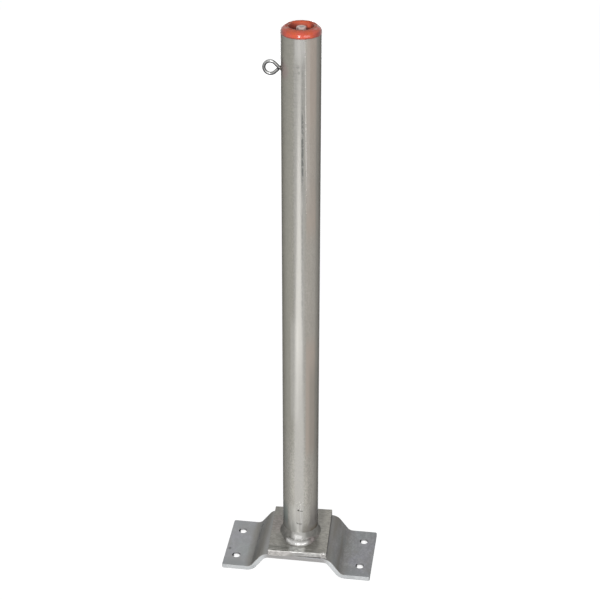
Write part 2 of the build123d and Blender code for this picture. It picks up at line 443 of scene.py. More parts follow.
def zinc(name):
    """Hot-dip galvanised steel: soft spangle, clouds of tone and a fine grain."""
    dark, light, metallic, rough_low, rough_high, grain, spangle = zinc_skins[name]
    skin = Skin(name, metallic)
    skin.put("Specular IOR Level", 0.05)
    skin.put("Specular Tint", (0.05, 0.05, 0.05, 1))
    clouds = skin.noise(zinc_clouds, 4, 0.6, grain)
    cells = skin.cells(zinc_spangle, grain)
    tone = skin.plus(skin.times(clouds, 1 - spangle), skin.times(cells, spangle))
    skin.coat(skin.mix((tone, 0.28, 0.72), dark, light))
    skin.put("Roughness", skin.band(clouds, 0.3, 0.7, rough_low, rough_high))
    skin.bump(skin.noise(zinc_grain, 3, 0.6, grain), 0.12, 0.12 * MM)
    skin.bump(skin.noise(zinc_waves, 2, 0.5, grain), 0.1, 0.6 * MM)
    return skin


def tube_skin():
    """The tube: satin zinc with soft streaks, a pressed strip by its seam and marks near the foot."""
    skin = zinc("tube_zinc")
    angle, z = skin.angle, skin.z
    streaks = skin.noise(75, 3, 0.6, (1, 1, 0.02))
    skin.paint((0.3, 0.287, 0.262), (streaks, 0.35, 0.72, 0, 0.3))
    fine = skin.patches(430, 2, 0.35, 0.65, 0, 1, 0.6, (1, 1, 0.6))
    grainier = skin.most((z, 0.3, 0.2), (angle, -170, -96, 6))
    skin.paint((0.252, 0.246, 0.225), fine, (grainier, 0, 1, 0.44, 0.84))
    # Tints: greenish on one side, neutral in front, rosy past the seam, darker at the right
    skin.paint((0.288, 0.28, 0.242), (angle, -165, -112, 13), (z, 0.2, 0.3, 0.15, 0.65))
    skin.paint((0.358, 0.35, 0.331), (angle, -98, -76, 8), 0.7)
    rosy_height = skin.most((z, 0.6, 0.67), (z, 0.25, 0.42, 0.05))
    skin.paint(
        (0.35, 0.303, 0.264), (angle, -63, -32, 6),
        skin.patches(9, 2, 0.4, 0.52, 0.55, 0.95, 0.5, (1, 1, 0.5), (3, 1, 7)),
        (rosy_height, 0, 1, 0.25, 0.95),
    )
    skin.paint((0.255, 0.245, 0.223), (angle, -30, 5, 8), (z, 0.6, 0.76, 0.55, 0.85))
    # A painted highlight in front, a little below the middle of the tube
    skin.paint((0.43, 0.42, 0.395), (angle, -112, -92, 6), (z, 0.32, 0.46, 0.05), 0.45)
    skin.paint((0.2, 0.195, 0.175), (angle, -50, 20, 9), (z, 0.25, 0.36, 0.06), 0.4)
    # Fine marks that run round the upper part
    marks = skin.patches(620, 2, 0.42, 0.62, 0, 1, 0.5, (0.1, 0.1, 1))
    skin.paint((0.22, 0.22, 0.2), (angle, -150, -92, 8), (z, 0.8, 0.96, 0.06), marks, 0.22)
    pressed_strip(skin)
    darken_foot(skin)
    nick_foot(skin)
    beside_eye = skin.spot((-0.0245, -0.019, eye_level + 0.004), (0.014, 0.018, 0.018))
    skin.paint((0.3, 0.235, 0.225), beside_eye, 0.65)
    for azimuth, height, reach, strength in scuffs:
        scuff = skin.spot(polar(tube_radius, radians(azimuth), height), (reach, reach, reach * 1.2))
        skin.paint((0.17, 0.17, 0.16), scuff, skin.patches(520, 2, 0.36, 0.56, 0.3, 1), strength)
    skin.bump(streaks, 0.16, 0.4 * MM)
    return skin.material


def pressed_strip(skin):
    """A painted highlight high up in front, then the duller speckled strip beside the seam, darkest a little
    below the eye.
    """
    angle, z = skin.angle, skin.z
    # A painted highlight high up in front
    skin.paint((0.47, 0.462, 0.442), (angle, -98, -74, 4), (z, 0.905, 0.935), 0.55)
    speckle = skin.patches(360, 2, 0.38, 0.58, 0.35, 1, 0.6, (1, 1, 0.5))
    strengths = [skin.times((z, *heights), share) for heights, share in strip_heights]
    skin.paint((0.105, 0.11, 0.105), (angle, *strip_turns), speckle, skin.plus(*strengths))
    skin.paint((0.41, 0.39, 0.36), (angle, -67, -58, 4), (z, 0.66, 0.72), 0.35)
    skin.paint((0.2, 0.2, 0.19), (angle, -74.5, -71.5, 1.2), (z, 0.7, 0.9, 0.04), 0.22)


def darken_foot(skin):
    """Dull dark zinc near the weld, partly heat tint and partly painted shade, all round but for a tongue in
    front that narrows down.
    """
    angle, z = skin.angle, skin.z
    low = skin.band(z, 0.13, 0.1)
    near_weld = skin.band(z, 0.088, 0.066)
    soft = skin.band(z, 0.06, 0.08, 7, 2.2)
    mottle = skin.patches(120, 3, 0.3, 0.7, 0.75, 0.98, 0.6, (1, 1, 0.3))
    for edge, way, dull, lightened_at_weld in tongue_sides:
        past = skin.math("DIVIDE", skin.minus(angle, skin.band(z, *edge)), soft)
        # Close to the weld the tone turns lighter: painted light
        tone = skin.mix(near_weld, dull, lightened_at_weld)
        skin.paint(tone, low, (past, -way, way), mottle)
    # A brown patch at the right, painted light over the weld on both sides, and a painted highlight on the
    # tongue itself
    skin.paint((0.155, 0.12, 0.065), (angle, -42, -12, 12), (z, 0.05, 0.064, 0.012), 0.45)
    skin.paint((0.46, 0.455, 0.43), (angle, -122, -100, 4), (z, 0.078, 0.112, 0.014), 0.42)
    skin.paint((0.45, 0.44, 0.415), (angle, -66, -56, 5), (z, 0.084, 0.112, 0.014), 0.25)
    skin.paint((0.52, 0.515, 0.49), (angle, -113, -92, 6), (z, 0.095, 0.07), 0.8)
    skin.paint((0.66, 0.66, 0.64), (angle, -98, -82, 5), (z, 0.07, 0.058), 0.6)


def nick_foot(skin):
    """Two short nicks in front near the foot, with light and dark specks over the upper one."""
    angle, z = skin.angle, skin.z
    wavy = skin.patches(420, 2, 0.38, 0.55, 0.6, 1)
    for azimuth, height, half_length, slope in foot_nicks:
        across = skin.minus(angle, azimuth)
        level = skin.plus(height, skin.times(across, slope), skin.times(across, across, nick_sag))
        line = skin.band(skin.absolute(skin.minus(z, level)), *nick_half)
        skin.paint((0.04, 0.036, 0.032), line, (across, -half_length, half_length, 2), wavy, 0.9)
    azimuth, height = nick_blob
    blob = skin.spot(polar(tube_radius, radians(azimuth), height), (0.0026, 0.004, 0.0024))
    skin.paint((0.03, 0.027, 0.024), blob, 0.95)
    over_nick = skin.times((angle, -94, -74, 3), (z, 0.114, 0.128, 0.005))
    skin.paint((0.72, 0.71, 0.68), over_nick, skin.patches(760, 2, 0.56, 0.66), 0.6)
    dark_specks = skin.patches(720, 2, 0.58, 0.68, 0, 1, 0.5, even, (5, 2, 8))
    skin.paint((0.12, 0.115, 0.105), over_nick, dark_specks, 0.45)
    scratches = skin.patches(520, 1, 0.52, 0.62, 0, 1, 0.5, (1, 1, 0.03))
    skin.paint((0.55, 0.545, 0.53), (angle, -90, -70, 4), (z, 0.128, 0.11), scratches, 0.3)


def bracket_skin():
    """The bracket: cool zinc with broad clouds, warm streaks down its bends, pale cut edges partly as
    painted light, and painted light and shadow in its holes.
    """
    skin = zinc("bracket_zinc")
    x, y, z = skin.axes
    side = skin.absolute(x)
    level = skin.band(skin.facing_z, 0.8, 0.95)
    broad = skin.noise(22, 3, 0.55, even, (2, 5, 1))
    skin.paint((0.285, 0.285, 0.3), (broad, 0.4, 0.68, 0, 0.35))
    skin.cloud((0.368, 0.366, 0.408), 0.62, 30, 2, 0.46, 0.6, 0.5, even, (7, 3, 2))
    # Lilac and greenish on the left foot
    skin.paint((0.352, 0.34, 0.392), skin.spot((-0.113, 0.018, 0.008), (0.02, 0.026, 0.01)), 0.8)
    skin.paint((0.34, 0.385, 0.368), skin.spot((-0.097, -0.022, 0.008), (0.017, 0.024, 0.01)), 0.75)
    # Teal clouds, dark and pale mottle, brownish dirt and a fine grain
    skin.cloud((0.318, 0.352, 0.35), 0.5, 27, 2, 0.5, 0.64, 0.5, even, (3, 9, 5))
    skin.cloud((0.25, 0.25, 0.255), 0.4, 130, 3, 0.44, 0.58, 0.6, (1, 0.6, 1), (8, 1, 3))
    skin.cloud((0.435, 0.438, 0.446), 0.4, 105, 3, 0.5, 0.62, 0.6, (1, 0.7, 1), (2, 6, 9))
    skin.cloud((0.285, 0.278, 0.262), 0.6, 34, 3, 0.52, 0.66, 0.55, (1, 0.6, 1), (1, 8, 4))
    skin.cloud((0.25, 0.25, 0.25), 0.52, 330, 2, 0.38, 0.62, 0.6)
    skin.paint((0.45, 0.458, 0.468), (x, -0.08, -0.092), level, 0.48)
    # Streaks along the bends, browner than the flats
    streaks = skin.patches(85, 2, 0.3, 0.66, 0.35, 0.95, 0.6, (1, 0.07, 0.5))
    brown = skin.mix((x, -0.01, 0.01), (0.3, 0.292, 0.27), (0.225, 0.215, 0.197))
    skin.paint(brown, (side, *bend_span), streaks)
    # The raised flange's left end, and the feet's front corners
    skin.paint((0.44, 0.44, 0.425), (x, -0.058, -0.046, 0.004), level, 0.4)
    skin.paint((0.285, 0.305, 0.305), (y, -0.04, -0.058), (side, 0.08, 0.09), 0.45)
    # Cut edges, built up with bright zinc and painted paler as painted light
    edge = skin.mix((broad, 0.42, 0.6), (0.52, 0.535, 0.545), (0.62, 0.635, 0.64))
    edge = skin.mix((side, 0.06, 0.045), edge, (0.355, 0.347, 0.342))
    cut = skin.band(skin.absolute(skin.facing_y), 0.8, 0.95)
    skin.paint(edge, cut, (z, -0.001, 0.002))
    # Hole walls: painted light low down, dull above, and painted shadow where they face away from the left
    in_hole = skin.times((side, *hole_span), (skin.absolute(y), *hole_reach), (skin.facing_z, 0.5, 0.2))
    wall = skin.mix((z, 0.0036, 0.0048), (0.98, 0.98, 0.98), (0.3, 0.3, 0.305))
    skin.paint(wall, in_hole)
    skin.paint((0.015, 0.015, 0.016), in_hole, (skin.facing_x, 0.62, 0.88))
    skin.put("Metallic", skin.band(in_hole, 0, 1, 0.45, 1))
    dirt = skin.spot((-0.1217, -0.0179, 0.008), (0.0035, 0.0045, 0.01))
    skin.paint((0.1, 0.1, 0.1), dirt, 0.6)
    return skin.material


def plate_skin():
    """The foot plate: warmer zinc with brush lines along X, a front face painted pale as painted light and a
    right face painted dark as painted shadow.
    """
    skin = zinc("plate_zinc")
    x, y, z = skin.axes
    lines = skin.noise(90, 3, 0.7, (0.12, 9, 9), (1, 2, 3))
    skin.paint(
        (0.225, 0.225, 0.205), (lines, 0.42, 0.62), (y, -0.02, -0.055, 0.25, 1),
        (x, 0, 0.02, 0.52, 0.26),
    )
    # Dark and light lines along the front, the dark ones away from the middle
    skin.paint(
        (0.13, 0.14, 0.125), (lines, 0.52, 0.6), (y, -0.061, -0.05, 0.003),
        (skin.absolute(skin.minus(x, 0.004)), 0.014, 0.022), (x, 0, 0.02, 0.75, 0.4),
    )
    skin.paint((0.64, 0.63, 0.6), (lines, 0.46, 0.38), (y, -0.061, -0.046, 0.003), 0.75)
    # Rosy at the left and pale at the right
    skin.paint((0.35, 0.312, 0.3), skin.spot((-0.04, 0.012, plate_top), (0.016, 0.035, 0.01)), 0.6)
    skin.paint((0.445, 0.43, 0.39), (x, 0.03, 0.042), 0.62)
    # A painted reflection in front of the weld, and painted shade in the weld's toe
    skin.paint(
        (0.8, 0.8, 0.78), (x, -0.0085, 0.012, 0.006), (y, -0.0625, -0.049, 0.002),
        (lines, 0.38, 0.64, 1, 0.5),
    )
    run_x, run_y, _ = polar(run_offset, radians(run_azimuth), 0)
    from_run_x = skin.minus(x, run_x)
    from_run = skin.length(from_run_x, skin.minus(y, run_y))
    skin.paint(
        (0.1, 0.095, 0.085), (from_run, run_radius + 2.4 * MM, run_radius + 0.2 * MM),
        (skin.absolute(from_run_x), 0.017, 0.009), 0.6,
    )
    # The front face, painted pale as painted light, and the right face, painted dark as painted shadow
    skin.paint(front_face(skin), (skin.facing_y, -0.7, -0.92))
    skin.paint((0.045, 0.042, 0.04), (skin.facing_x, 0.7, 0.92), 0.85)
    # The lit lip over the front face, and darker streaks just behind the edge's rolled part
    skin.paint(
        skin.mix((x, -0.01, 0.01), (0.7, 0.69, 0.665), (0.47, 0.465, 0.45)),
        (z, plate_top - 1.2 * MM, plate_top - 0.4 * MM), (skin.facing_y, -0.06, -0.3),
        skin.most((x, -0.012, -0.018), (x, 0.007, 0.013)),
    )
    skin.paint(
        (0.155, 0.155, 0.142), (y, -0.0565, -0.059), (x, 0.012, 0.018), (skin.facing_z, 0.8, 0.96), 0.5,
    )
    skin.cloud((0.2, 0.195, 0.18), 0.5, 360, 2, 0.38, 0.62, 0.6, (0.45, 1, 1))
    skin.bump(lines, 0.3, 0.3 * MM)
    return skin.material


def front_face(skin):
    """The plate's front: painted pale as painted light, a little rosy at the left, with a painted shadow
    line along the right half.
    """
    x = skin.x
    face = skin.mix((x, -0.016, 0.002), (0.515, 0.496, 0.478), (0.385, 0.38, 0.37))
    face = skin.mix((x, 0.011, 0.018), face, (0.49, 0.484, 0.47))
    level = skin.plus(skin.z, skin.times(skin.noise(60, 2, 0.5, (1, 0, 0)), face_wander))
    # A painted shadow line low along the right half
    face = skin.over(
        face, (0.11, 0.105, 0.105), (level, *face_line), (x, -0.007, 0.042, 0.003),
        (x, 0.01, 0.018, 0.4, 0.85),
    )
    dashes = skin.band(skin.absolute(skin.minus(level, face_dashes)), 0.0012, 0.0005)
    face = skin.over(face, (0.15, 0.145, 0.14), dashes, (x, 0, 0.0145, 0.002), 0.45)
    # Dark and light chips at both ends
    ends = skin.most((x, 0.04, 0.043), (x, -0.042, -0.044))
    face = skin.over(face, (0.2, 0.165, 0.155), skin.patches(300, 2, 0.48, 0.56), ends, 0.7)
    light = skin.patches(280, 2, 0.5, 0.58, 0, 1, 0.5, even, (4, 4, 9))
    return skin.over(face, (0.74, 0.72, 0.7), light, ends, 0.8)


def foot_weld_skin():
    """The foot's weld: bright where the gun ran last, in front, partly as painted highlight, and dull and
    dark at the sides, partly as painted shade.
    """
    skin = zinc("foot_weld_zinc")
    bright = skin.colour
    angle = skin.angle
    grime = skin.patches(160, 3, 0.3, 0.7, 0, 1, 0.6)
    dull = skin.mix(grime, (0.185, 0.182, 0.17), (0.25, 0.243, 0.225))
    rosy = skin.mix(grime, (0.215, 0.195, 0.185), (0.32, 0.288, 0.275))
    outer = skin.band(skin.radius, tube_radius + 3.2 * MM, tube_radius + 4.8 * MM)
    dull = skin.over(dull, rosy, outer, (angle, -58, -22, 10))
    # Painted light on the dull parts in front
    dull = skin.over(dull, (0.43, 0.425, 0.405), (angle, -106, -71, 10), 0.74)
    # The shine in front, on the fillet and on the run outside it: glossier zinc and a painted highlight
    ragged = skin.plus(skin.z, skin.times(skin.noise(240, 2, 0.6, (1, 1, 0.5)), 6 * MM))
    on_fillet = skin.times((angle, -94, -84, 18), (ragged, 0.0645, 0.059, 0.3, 1))
    on_run = skin.times((angle, -123, -109), (angle, -55, -79))
    shine = skin.plus(on_fillet, skin.times(outer, skin.minus(on_run, on_fillet)))
    skin.coat(skin.mix(shine, dull, bright))
    skin.put("Metallic", skin.band(shine, 0, 1, 0.12, 0.45))
    skin.put("Roughness", skin.band(shine, 0, 0.8, 0.55, 0.22))
    # Bright lumps, a rosy one at the right and painted shade in the crease
    for azimuth, middle, *_ in run_lumps[:bright_lumps]:
        lump = skin.spot(polar(middle, radians(azimuth), plate_top + 6 * MM), (0.0026, 0.0042, 0.006))
        skin.paint((0.74, 0.73, 0.71), lump, 0.6)
    lump = skin.spot(polar(0.0375, radians(-50), plate_top + 4 * MM), (0.003, 0.006, 0.006))
    skin.paint((0.42, 0.37, 0.36), lump, 0.6)
    crease = skin.window(skin.radius, tube_radius + 3.4 * MM, tube_radius + 4 * MM, 0.7 * MM)
    skin.paint((0.14, 0.135, 0.125), crease, (angle, -107, -74, 5), 0.1)
    return skin.material


def eye_weld_skin():
    """The bead at the eye, heat-tinted brown where the zinc has run thin."""
    skin = zinc("eye_weld_zinc")
    skin.paint((0.07, 0.045, 0.035), skin.patches(500, 2, 0.42, 0.6))
    return skin.material


def seam_skin():
    """The seam: brighter than the tube at the top, and the tube's own tone where it fades out."""
    skin = zinc("seam_zinc")
    skin.paint((0.49, 0.475, 0.455), (skin.z, 0.675, 0.76, 0, 0.85))
    return skin.material


def steel_skin(name, dark, light, roughness, turned, metallic):
    """Bright steel with fine turning lines round the axis, the key head's duller face and painted light on
    its sides.
    """
    skin = Skin(name, metallic, roughness)
    lines = skin.noise(60, 2, 0.6, (0.6, 0.6, 40))
    skin.coat(skin.mix((lines, 0.3, 0.7), dark, light))
    skin.paint((0.29, 0.275, 0.27), skin.spot(head_dull, (0.0048, 0.004, 0.003)), 0.85)
    # The head's side faces, painted light
    on_head = skin.band(skin.z, spindle_top - 9 * MM, spindle_top - 6 * MM)
    skin.paint((0.95, 0.84, 0.8), (skin.facing_z, 0.5, 0.2), on_head, 0.8)
    skin.put("Roughness", skin.patches(300, 3, 0.3, 0.7, roughness - 0.06, roughness + 0.08))
    skin.bump(lines, turned, 0.2 * MM)
    return skin.material


def cap_skin():
    """Glossy red-orange plastic with a faint mould texture, duller and dusty in its mouth, with painted
    light and shade in the mouth and painted shade on its flanks and foot.
    """
    skin = Skin("cap_plastic", 0, 0.22)
    x, y, z = skin.axes
    radius = skin.radius
    tone = skin.patches(90, 3, 0.3, 0.7, 0, 1, 0.5)
    skin.coat(skin.mix(tone, (0.555, 0.068, 0.017), (0.66, 0.094, 0.027)))
    skin.cloud((0.62, 0.076, 0.05), 0.6, 75, 2, 0.46, 0.58, 0.5, even, (6, 2, 4))
    # The mouth: a little darker all over, painted light on its back wall and right half, and painted shade
    # on its left wall and bottom
    mouth = skin.band(radius, *cap_mouth)
    deep = skin.band(z, cap_top - 5.5 * MM, cap_top - 10.5 * MM)
    skin.paint((0.36, 0.055, 0.03), mouth, 0.1)
    skin.paint((0.68, 0.165, 0.105), mouth, (skin.facing_y, 0, -0.35), 0.85)
    skin.paint((0.88, 0.15, 0.066), mouth, (x, 0.004, 0.01), 0.85)
    skin.paint((0.17, 0.024, 0.014), mouth, (skin.facing_x, 0.05, 0.55), 0.6)
    skin.paint((0.115, 0.015, 0.011), mouth, deep, 0.8)
    for azimuth, out, reach, strength in cap_dust:
        dust = skin.spot(polar(out, radians(azimuth), cap_top), (reach, reach * 0.8, 5 * MM))
        skin.paint((0.52, 0.43, 0.375), dust, skin.patches(260, 2, 0.32, 0.58, 0.35, 1), strength)
    # The pale crest in front, worn and partly painted highlight, painted shade at the foot and darker
    # flanks, also painted shade
    skin.paint(
        (0.5, 0.32, 0.27), (radius, *cap_crest), skin.patches(210, 2, 0.36, 0.6, 0.22, 0.6),
        (y, 0.015, 0.007, 0.15, 1),
    )
    at_foot = skin.band(z, tube_top + 2 * MM, tube_top + 0.8 * MM)
    skin.paint((0.2, 0.045, 0.032), at_foot, skin.patches(230, 2, 0.38, 0.58, 0.2, 0.8))
    flank = skin.band(skin.absolute(skin.facing_x), 0.5, 0.92)
    skin.paint((0.2, 0.014, 0.004), flank, (skin.facing_z, 0.82, 0.4), 0.8)
    # Gloss, taken off in the mouth, on the worn ring and at the back of the rim
    shine = skin.patches(500, 3, 0.3, 0.7, 0.12, 0.17)
    worn = skin.times((radius, *cap_worn), 0.75)
    back_rim = skin.times((radius, 0.025, 0.0215), (y, 0.002, 0.01), 0.45)
    skin.put("Roughness", skin.plus(shine, skin.most(skin.times(mouth, 0.5), back_rim, worn)))
    skin.put("Specular IOR Level", 0.58)
    skin.bump(skin.noise(700, 2), 0.02, 0.1 * MM)
    return skin.material


def wire_skin():
    """Drawn wire under zinc: bright along its middle and dark at its rims, which is painted shade."""
    skin = Skin("wire_zinc", 0.7, 0.26)
    skin.put("Specular IOR Level", 0)
    skin.put("Specular Tint", (0, 0, 0, 1))
    tone = skin.noise(260, 3, 0.6)
    skin.coat(skin.mix((tone, 0.32, 0.68), (0.3, 0.3, 0.296), (0.42, 0.42, 0.412)))
    # Painted shade where the wire faces down or sideways
    below = skin.band(skin.facing_z, 0.35, -0.2)
    beside = skin.band(skin.absolute(skin.facing_x), 0.4, 0.8)
    skin.paint((0.048, 0.048, 0.05), skin.most(below, beside), 0.95)
    skin.put("Roughness", skin.band(tone, 0.3, 0.7, 0.24, 0.34))
    skin.bump(skin.noise(700, 2), 0.05, 0.2 * MM)
    return skin.material


def add_object(name, data):
    obj = bpy.data.objects.new(name, data)
    bpy.context.scene.collection.objects.link(obj)
    return obj


def piece(name, mesh_data, material, body, smooth_angle=35):
    """Makes an object of a mesh, shades it and lets it ride on a body."""
    bm = bmesh.new()
    bm.from_mesh(mesh_data)
    bmesh.ops.remove_doubles(bm, verts=bm.verts, dist=1e-7)
    bmesh.ops.dissolve_degenerate(bm, edges=bm.edges, dist=1e-7)
    bmesh.ops.recalc_face_normals(bm, faces=bm.faces)
    for face in bm.faces:
        face.smooth = True
    for edge in bm.edges:
        if len(edge.link_faces) == 2 and edge.calc_face_angle(0) > radians(smooth_angle):
            edge.smooth = False
    bm.to_mesh(mesh_data)
    bm.free()
    mesh_data.materials.append(material)
    obj = add_object(name, mesh_data)
    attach(obj, body)
    return obj


def rows_mesh(name, rows, closed=False, ends=()):
    """A skin over rows of points, each row joined to the next. Closed rows are rings."""
    count = len(rows[0])
    faces = []
    for i in range(len(rows) - 1):
        for j in range(count if closed else count - 1):
            k = (j + 1) % count
            faces.append((i * count + j, i * count + k, (i + 1) * count + k, (i + 1) * count + j))
    made = bpy.data.meshes.new(name)
    made.from_pydata([point for row in rows for point in row], [], [*faces, *ends])
    return made


def bridge(bm, rings):
    """Faces between rings of vertices, each ring joined to the next."""
    for low, high in zip(rings, rings[1:]):
        for j in range(len(low)):
            k = (j + 1) % len(low)
            bm.faces.new((low[j], low[k], high[k], high[j]))


def thread_rows():
    """Rows of points that follow the spindle's right-hand thread, cut to its length and its tip."""
    rows = []
    for turn in range(-1, int((thread_top - spindle_bottom) / thread_pitch) + 3):
        for share, thread_radius in thread_form:
            row = []
            for j in range(round_segments + 1):
                z = spindle_bottom + (turn + share + j / round_segments) * thread_pitch
                z = min(max(z, spindle_bottom), thread_top)
                in_chamfer = stem_radius - tip_chamfer + (z - spindle_bottom)
                radius = min(thread_radius, in_chamfer) if z < thread_top else stem_radius
                row.append(polar(radius, 2 * pi * j / round_segments, z))
            rows.append(row)
    return rows


def spindle_bar(material):
    """The spindle with its real thread, its stem and its hexagonal key head."""
    thread = rows_mesh("spindle_thread", thread_rows())
    bm = bmesh.new()
    bm.from_mesh(thread)

    def ring(radius, z):
        angles = (2 * pi * j / round_segments for j in range(round_segments))
        return [bm.verts.new(polar(radius, angle, z)) for angle in angles]

    groove_bottom = washer_bottom - ring_groove_width
    groove_radius = stem_radius - ring_groove_depth
    key_bottom = spindle_top - key_length
    profile = (
        (stem_radius, thread_top),
        (stem_radius, groove_bottom),
        (groove_radius, groove_bottom),
        (groove_radius, washer_bottom),
        (stem_radius, washer_bottom),
        (stem_radius, key_bottom),
    )
    bridge(bm, [ring(radius, z) for radius, z in profile])
    bm.faces.new(ring(stem_radius - tip_chamfer, spindle_bottom))
    add_key_head(bm, key_bottom)
    bm.to_mesh(thread)
    bm.free()
    return piece("spindle_bar", thread, material, "spindle", 28)


def add_key_head(bm, bottom):
    """The hexagonal key head, with its corners cut back by a cone."""
    corner = key_flats / 2 / cos(radians(30))
    face_radius = key_flats / 2 - key_face_inset
    rise = tan(radians(key_chamfer_angle))
    start = radians(key_turn + 30)
    turns = [2 * pi * j / key_points for j in range(key_points)]
    flats = [key_flats / 2 / cos((turn + pi / 6) % (pi / 3) - pi / 6) for turn in turns]
    rings = [[bm.verts.new(polar(flat, turn + start, bottom)) for turn, flat in zip(turns, flats)]]
    for k in range(key_chamfer_steps + 1):
        limit = corner + (face_radius - corner) * k / key_chamfer_steps
        ring = []
        for turn, flat in zip(turns, flats):
            radius = min(flat, limit)
            z = spindle_top - max(0, radius - face_radius) * rise
            ring.append(bm.verts.new(polar(radius, turn + start, z)))
        rings.append(ring)
    bridge(bm, rings)
    bm.faces.new(rings[-1])
    bm.faces.new(list(reversed(rings[0])))


def nut_thread(material):
    """The nut's inner thread, which runs in the spindle's grooves."""
    first = int((nut_bottom - spindle_bottom) / thread_pitch) + 1
    last = int((nut_top - spindle_bottom) / thread_pitch) - 1
    steps = (last - first) * round_segments
    rows = []
    for i in range(steps + 1):
        start = spindle_bottom + (first + i / round_segments) * thread_pitch
        angle = 2 * pi * i / round_segments
        rows.append([polar(radius, angle, start + share * thread_pitch) for share, radius in nut_form])
    corners = range(len(nut_form))
    ends = (tuple(corners), tuple(steps * len(nut_form) + j for j in reversed(corners)))
    mesh = rows_mesh("nut_thread", rows, ends=ends)
    return piece("nut_thread", mesh, material, "base")


def ripple(angle, radius, size, seed):
    """A smooth random value from -1 to 1 at a place on a round surface."""
    spot = Vector(polar(radius, angle, 0)) / size + Vector((seed, seed * 2.3, seed * 0.7))
    return noise.noise(spot)


def turn_between(angle, azimuth):
    """The turn from an azimuth in degrees to an angle in radians, from -180 to 180 degrees."""
    return (degrees(angle) - azimuth + 180) % 360 - 180


def run_reach(angle):
    """How far the front run reaches out from the tube."""
    turn = radians(turn_between(angle, run_azimuth))
    inside = run_radius**2 - (run_offset * sin(turn)) ** 2
    return run_offset * cos(turn) + sqrt(max(0, inside)) - tube_radius


def foot_weld_height(angle, radius):
    """The weld's height over the plate at a place round the tube."""
    reach = radius - tube_radius
    far = run_reach(angle)
    past = turn_between(angle, crease_azimuth)
    merged = max(smooth_step(past, *crease_end_right), smooth_step(-past, *crease_end_left))
    leg = max(fillet_leg, far * (crease_cover + (1 - crease_cover) * merged))
    left = max(0, 1 - reach / leg)
    height = fillet_height * (1 - (1 - left**fillet_bend) ** (1 / fillet_bend))
    width = far - run_start
    if width > 0:
        along = (reach - run_start) / width
        size = run_height * min(1, width / run_full_width) ** run_fade
        if along < run_crest:
            run = size * (1 - run_inner_drop * ((run_crest - along) / run_crest) ** 2)
        else:
            steep = run_steep + (run_gentle - run_steep) * smooth_step(abs(past), *run_gentle_turns)
            down = (along - run_crest) / (1 - run_crest)
            run = size * max(0, 1 - down**run_flank) ** steep
        height = max(height, run)
    return height


def foot_weld_mesh():
    """A height field round the tube's foot, with the ripples and lumps of the weld."""
    wave, wave_size = weld_wave
    grain, grain_size = weld_grain
    ragged, ragged_size = weld_ragged
    rows = []
    for i in range(weld_around):
        angle = 2 * pi * i / weld_around
        toe = max(fillet_leg, run_reach(angle))
        row = []
        for j in range(weld_across + 1):
            share = (1 - cos(pi * j / weld_across)) / 2
            radius = tube_radius + toe * share
            height = foot_weld_height(angle, radius)
            if 0 < j < weld_across:
                rise = sin(pi * share) ** 0.5
                height += wave * sin(degrees(angle) * 1.3 + 2.5 * ripple(angle, radius, wave_size, 3)) * rise
                height += grain * ripple(angle, radius, grain_size, 7) * rise
                for azimuth, middle, lump, along, out in run_lumps:
                    side = radians(turn_between(angle, azimuth)) * middle
                    height += lump * exp(-((side / along) ** 2) - ((radius - middle) / out) ** 2) * rise
            if j == 0:
                height += ragged * ripple(angle, radius, ragged_size, 11)
            row.append(polar(radius, angle, plate_top + (max(0, height) if j < weld_across else 0)))
        rows.append(row)
    rows.append(rows[0])
    return rows_mesh("foot_weld_run", rows)


def plate_edge():
    """Points round the plate with a label: (across, along, is it the front edge)."""
    half_x, half_y = plate_half_x, plate_half_y
    reach_x = half_x - plate_corner
    reach_y = half_y - plate_corner
    front = [(reach_x * (2 * k / front_points - 1), -half_y, True) for k in range(front_points + 1)]
    right = [(half_x, reach_y * (2 * k / side_points - 1), False) for k in range(side_points + 1)]
    back = [(-u, half_y, False) for u, v, _ in front[::front_points // side_points]]
    left = [(-half_x, -v, False) for u, v, _ in right]
    return front + right + back + left


